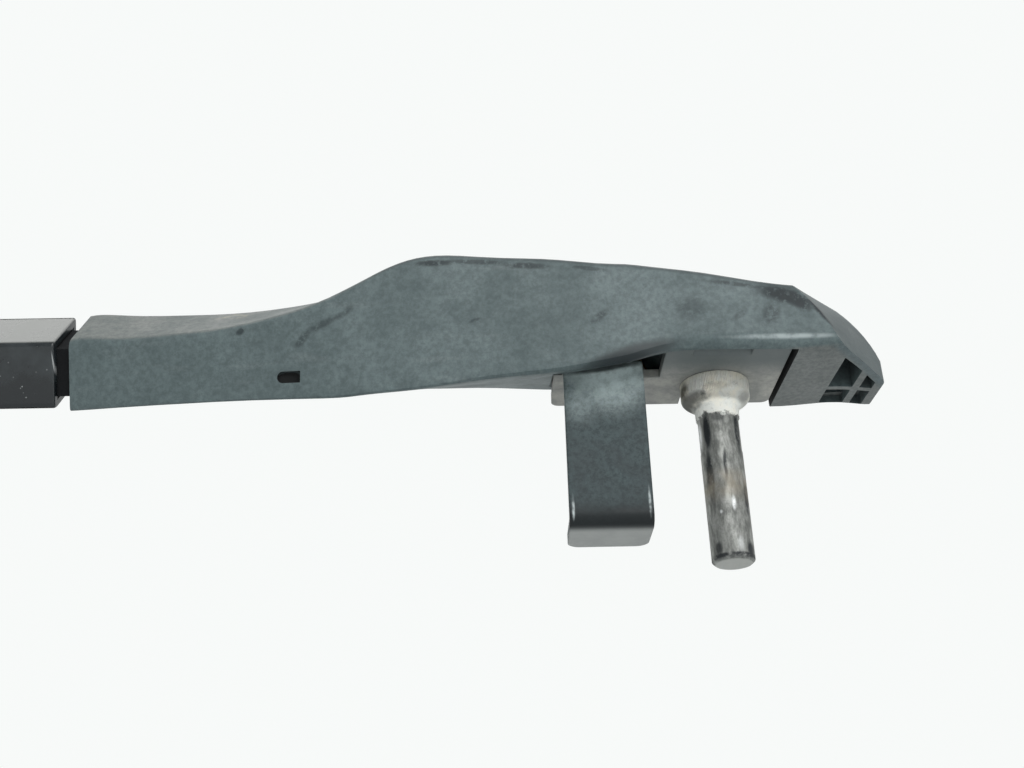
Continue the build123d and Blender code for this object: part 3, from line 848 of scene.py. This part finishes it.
# plain pins and spring wire
wireFinish = {
    "light": (0.56, 0.57, 0.58),
    "dull": (0.30, 0.30, 0.30),
    "brushStretch": (900, 120, 900),
    "brushNoise": (1.0, 4, 0.6),
    "brushSpan": (0.3, 0.7),
    "roughSpan": (0.3, 0.7, 0.45, 0.28),
    "brushDepth": 0.01,
}


def makeWireFinish(values):
    finish, tree, shader, place = startFinish("plainSteel")
    brushed = noise(tree, stretched(tree, place, values["brushStretch"]), *values["brushNoise"])
    lit = ease(tree, brushed, *values["brushSpan"])
    colour = blendColour(tree, lit, values["dull"], values["light"])
    tree.links.new(colour, shader.inputs["Base Color"])
    shader.inputs["Metallic"].default_value = 1.0
    tree.links.new(ease(tree, brushed, *values["roughSpan"]), shader.inputs["Roughness"])
    tree.links.new(bump(tree, brushed, values["brushDepth"]), shader.inputs["Normal"])
    return finish


# bronze of the hinge bushes
bushFinish = {
    "bright": (0.60, 0.42, 0.18),
    "dull": (0.26, 0.18, 0.08),
    "tarnish": (420, 5, 0.65),
    "tarnishSpan": (0.35, 0.7),
    "roughSpan": (0.3, 0.7, 0.32, 0.55),
    "pits": (1400, 2),
    "pitDepth": 0.01,
}


def makeBushFinish(values):
    finish, tree, shader, place = startFinish("bushBronze")
    tarnish = noise(tree, place, *values["tarnish"])
    tarnished = ease(tree, tarnish, *values["tarnishSpan"])
    colour = blendColour(tree, tarnished, values["bright"], values["dull"])
    tree.links.new(colour, shader.inputs["Base Color"])
    shader.inputs["Metallic"].default_value = 1.0
    tree.links.new(ease(tree, tarnish, *values["roughSpan"]), shader.inputs["Roughness"])
    pits = noise(tree, place, *values["pits"])
    tree.links.new(bump(tree, pits, values["pitDepth"]), shader.inputs["Normal"])
    return finish


def makeFloorFinish(values):
    finish, tree, shader, place = startFinish("paleFloor")
    cloud = noise(tree, place, *values["floorNoise"])
    dim = tuple(c * values["floorDim"] for c in values["floorColour"])
    colour = blendColour(tree, cloud, values["floorColour"], dim)
    tree.links.new(colour, shader.inputs["Base Color"])
    shader.inputs["Roughness"].default_value = values["floorRough"]
    # seen or mirrored, the floor fades into the white surround
    fade = ease(tree, lengthOf(tree, place), *values["floorFade"])
    camera, shiny = rays(tree)
    white = times(tree, fade, most(tree, camera, shiny))
    glow = tree.nodes.new("ShaderNodeEmission")
    glow.inputs["Color"].default_value = (*values["surround"], 1)
    mixed = mixShaders(tree, white, shader, glow)
    tree.links.new(mixed.outputs[0], tree.nodes["Material Output"].inputs["Surface"])
    return finish


armMoulding = makeArmFinish(armFinish)
barGloss = makeBarFinish(barFinish)
headPaint = makeHeadFinish(headFinish)
spindleSteel = makePinFinish(pinFinish, shankFinish, collarFinish)
plainSteel = makeWireFinish(wireFinish)
bushBronze = makeBushFinish(bushFinish)
print("finishes made")


# CAD nodes keep their shape and get a finish and smooth shading, sharp above the angle in
# degrees; the bar's edges are rounded as well, by the edge in mm
nodeFinish = {
    "arm_body": {"finish": armMoulding, "angle": 38},
    "outer_bar": {"finish": barGloss, "angle": 38, "edge": 0.45},
    "head_bracket": {"finish": headPaint, "angle": 30},
    "anchor_pin": {"finish": plainSteel, "angle": 35},
    "hinge_pin": {"finish": plainSteel, "angle": 35},
    "spring_pin": {"finish": plainSteel, "angle": 35},
    "hinge_bush_near": {"finish": bushBronze, "angle": 35},
    "hinge_bush_far": {"finish": bushBronze, "angle": 35},
    "spindle_pin": {"finish": spindleSteel, "angle": 35},
    "tension_spring": {"finish": plainSteel, "angle": 50},
}
dressing = {
    "weld": 0.002,  # mm
    "flat": 0.5,  # degrees
    "segments": 3,
    "weight": 60,
}


def smoothShape(shape):
    shape.polygons.foreach_set("use_smooth", np.ones(len(shape.polygons), bool))


def dressNode(node, values, shared):
    shape = node.data
    shape.materials.clear()
    shape.materials.append(values["finish"])
    for name in ("custom_normal", "sharp_edge"):
        given = shape.attributes.get(name)
        if given is not None:
            shape.attributes.remove(given)
    smoothShape(shape)
    weld = node.modifiers.new("weld", "WELD")
    weld.merge_threshold = shared["weld"] * mm
    if "edge" in values:
        flatten = node.modifiers.new("flatten", "DECIMATE")
        flatten.decimate_type = "DISSOLVE"
        flatten.angle_limit = math.radians(shared["flat"])
        soften = node.modifiers.new("edge", "BEVEL")
        soften.width = values["edge"] * mm
        soften.segments = shared["segments"]
        soften.limit_method = "ANGLE"
        soften.angle_limit = math.radians(values["angle"])
        soften.use_clamp_overlap = False
    else:
        split = node.modifiers.new("split", "EDGE_SPLIT")
        split.split_angle = math.radians(values["angle"])
        split.use_edge_sharp = False
    even = node.modifiers.new("even", "WEIGHTED_NORMAL")
    even.mode = "FACE_AREA"
    even.weight = shared["weight"]
    even.keep_sharp = True


for nodeName, nodeValues in nodeFinish.items():
    dressNode(nodes[nodeName], nodeValues, dressing)
print("nodes dressed:", len(nodeFinish))


def addSurface(name, points, faces, finish):
    shape = bpy.data.meshes.new(name)
    shape.from_pydata(points.tolist(), [], faces)
    smoothShape(shape)
    shape.materials.append(finish)
    shape.update()
    piece = bpy.data.objects.new(name, shape)
    scene.collection.objects.link(piece)
    return piece


def gridFaces(rows, columns, first):
    # quads of a grid whose columns run once round, with a fan to a pole before and after it
    row, column = np.meshgrid(np.arange(rows - 1), np.arange(columns), indexing="ij")
    beside = (column + 1) % columns
    here, there = first + row * columns + column, first + row * columns + beside
    quads = np.stack((here, there, there + columns, here + columns), -1).reshape(-1, 4)
    ring = np.arange(columns)
    after = (ring + 1) % columns
    last = first + rows * columns
    low = np.stack((np.full(columns, first - 1), first + after, first + ring), -1)
    top = last - columns
    high = np.stack((np.full(columns, last), top + ring, top + after), -1)
    return quads.tolist() + low.tolist() + high.tolist()


# spindle pin: a turned profile with rounded corners, knurled round the collar; lengths in mm
spindle = {
    "profile": [  # radius and height, from the free end up
        (0.0, -31.2), (3.3, -31.2), (3.98, -30.6), (4.0, -9.4), (3.92, -9.0), (3.92, -2.3),
        (4.2, -2.1), (4.28, 0.15), (4.5, 0.45), (5.4, 1.1), (6.3, 1.75), (6.65, 2.15),
        (6.75, 2.6), (6.75, 5.55), (3.3, 5.58), (3.3, 7.42), (4.4, 7.42), (4.3, 8.0),
        (3.0, 8.78), (0.0, 8.8),
    ],
    "rounding": 0.16,
    "samples": 9,
    "rows": 220,
    "columns": 256,
    "ridges": 46,
    "ridgeDepth": 0.16,
    "ridgeTwist": 0.35,
    "ridgePower": 0.8,
    "ridgeFrom": (2.2, 0.5),  # height, and length of the fade there
    "ridgeTo": (5.5, 0.3),
    "ridgeRadius": (5.2, 0.6),
    "wobble": 0.035,
    "waves": [(3, 0.9, 0.0), (5, -1.7, 1.0)],  # per turn, per mm of height, offset
}


def makeSpindle(values):
    # radius and height are read at even steps along the profile's length, averaged over the
    # rounding so that corners turn softly, and swept once round Z; on the collar the radius
    # falls by depth * (1 - |sin(ridges/2 * angle + twist * height)| ^ power), and by a small
    # wobble made of two sine waves
    corner = np.array(values["profile"])
    run = np.concatenate(([0.0], np.cumsum(np.linalg.norm(np.diff(corner, axis=0), axis=1))))
    rows, columns = values["rows"], values["columns"]
    along = np.linspace(0.0, run[-1], rows + 2)[1:-1]
    offsets = np.linspace(-1.0, 1.0, values["samples"]) * values["rounding"]
    sample = np.clip(along[:, None] + offsets, 0.0, run[-1])
    radius = np.interp(sample, run, corner[:, 0]).mean(1)[:, None]
    height = np.interp(sample, run, corner[:, 1]).mean(1)[:, None]
    angle = np.linspace(0.0, 2 * np.pi, columns, endpoint=False)[None, :]
    (low, lowFade), (high, highFade) = values["ridgeFrom"], values["ridgeTo"]
    least, leastFade = values["ridgeRadius"]
    onCollar = np.clip((height - low) / lowFade, 0, 1) * np.clip((high - height) / highFade, 0, 1)
    onCollar = onCollar * np.clip((radius - least) / leastFade, 0, 1)
    twisted = values["ridges"] / 2 * angle + values["ridgeTwist"] * height
    ridge = np.abs(np.sin(twisted)) ** values["ridgePower"]
    wander = sum(np.sin(n * angle + k * height + shift) for n, k, shift in values["waves"])
    full = radius - values["ridgeDepth"] * onCollar * (1 - ridge)
    full = full - values["wobble"] * onCollar * (1 + wander / 2)
    x, y, z = full * np.cos(angle), full * np.sin(angle), height + 0 * angle
    grid = np.stack((x, y, z), -1).reshape(-1, 3)
    poles = np.array([[0, 0, corner[0, 1]], [0, 0, corner[-1, 1]]])
    points = np.concatenate((poles[:1], grid, poles[1:])) * mm
    piece = addSurface("spindlePin", points, gridFaces(rows, columns, 1), spindleSteel)
    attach(piece, "head")
    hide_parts("spindle_pin")


makeSpindle(spindle)
print("spindle pin turned")


# tension spring: hooked wire, wound between the head's spring pin and the arm's anchor pin
spring = {
    "start": (-18.5, -5.0, 11.4),
    "end": (-78.0, -5.0, 13.0),
    "wire": 0.65,
    "coil": 2.6,
    "turns": 9,
    "turnSteps": 36,
    "lead": 5.0,
    "leadSpan": (0.06, 0.94),
    "leadSteps": 12,
    "hook": 2.25,
    "hookSpan": (-150, 90),  # degrees
    "hookSteps": 40,
    "sides": 14,
}


def makeSpring(values):
    # the wire's middle line is an arc round the first pin, a straight lead, a helix whose radius
    # is steady and whose angle grows evenly, and the same lead and arc at the other end;
    # a circle of the wire's radius is carried square to that line
    start, end = np.array(values["start"]), np.array(values["end"])
    length = np.linalg.norm(end - start)
    axis = (end - start) / length
    side = np.array((0.0, 1.0, 0.0))
    up = np.cross(axis, -side)
    bend = np.radians(np.linspace(*values["hookSpan"], values["hookSteps"]))
    hook = np.stack((-np.cos(bend), 0 * bend, np.sin(bend)), -1) * values["hook"]
    hookAcross = np.tile(side, (len(bend), 1))
    step = np.linspace(*values["leadSpan"], values["leadSteps"])
    fade = step * step * (3 - 2 * step)
    rise = values["hook"] + (values["coil"] - values["hook"]) * fade
    lead = np.stack((values["lead"] * step, 0 * step, rise), -1)
    quarter = fade * np.pi / 2
    leadAcross = np.stack((0 * step, np.cos(quarter), np.sin(quarter)), -1)
    turn = np.linspace(0.0, 1.0, values["turns"] * values["turnSteps"])
    wound = np.pi / 2 + 2 * np.pi * values["turns"] * turn
    travel = values["lead"] + (length - 2 * values["lead"]) * turn
    coilAcross = np.stack((0 * turn, np.cos(wound), np.sin(wound)), -1)
    coil = values["coil"] * coilAcross
    coil[:, 0] = travel
    flip, shift = np.array((-1.0, 1.0, 1.0)), np.array((length, 0.0, 0.0))
    farLead, farHook = shift + flip * lead[::-1], shift + flip * hook[::-1]
    line = np.concatenate((hook, lead, coil, farLead, farHook))
    farAcross = leadAcross[::-1], hookAcross[::-1]
    across = np.concatenate((hookAcross, leadAcross, coilAcross, *farAcross))
    heading = np.gradient(line, axis=0)
    heading /= np.linalg.norm(heading, axis=1, keepdims=True)
    across = across - heading * (across * heading).sum(1, keepdims=True)
    across /= np.linalg.norm(across, axis=1, keepdims=True)
    third = np.cross(heading, across)
    around = np.linspace(0, 2 * np.pi, values["sides"], endpoint=False)[None, :, None]
    circle = np.cos(around) * across[:, None] + np.sin(around) * third[:, None]
    ring = line[:, None] + values["wire"] * circle
    local = np.concatenate((line[:1], ring.reshape(-1, 3), line[-1:]))
    points = (start + local[:, :1] * axis + local[:, 1:2] * side + local[:, 2:] * up) * mm
    faces = gridFaces(len(line), values["sides"], 1)
    piece = addSurface("tensionSpring", points, faces, plainSteel)
    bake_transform(piece)
    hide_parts("tension_spring")


makeSpring(spring)
print("spring wound")


def makeFloor(values):
    # a flat square grid, one height all over
    count = values["floorCells"]
    steps = np.linspace(-values["floorHalf"], values["floorHalf"], count + 1)
    x, y = np.meshgrid(steps, steps, indexing="xy")
    points = np.stack((x.ravel(), y.ravel(), np.full(x.size, values["floorZ"])), -1)
    row, column = np.meshgrid(np.arange(count), np.arange(count), indexing="ij")
    here = (row * (count + 1) + column).ravel()
    above = here + count + 1
    faces = np.stack((here, here + 1, above + 1, above), -1).tolist()
    floor = addSurface("floor", points, faces, makeFloorFinish(values))


makeFloor(studio)
print("floor laid")
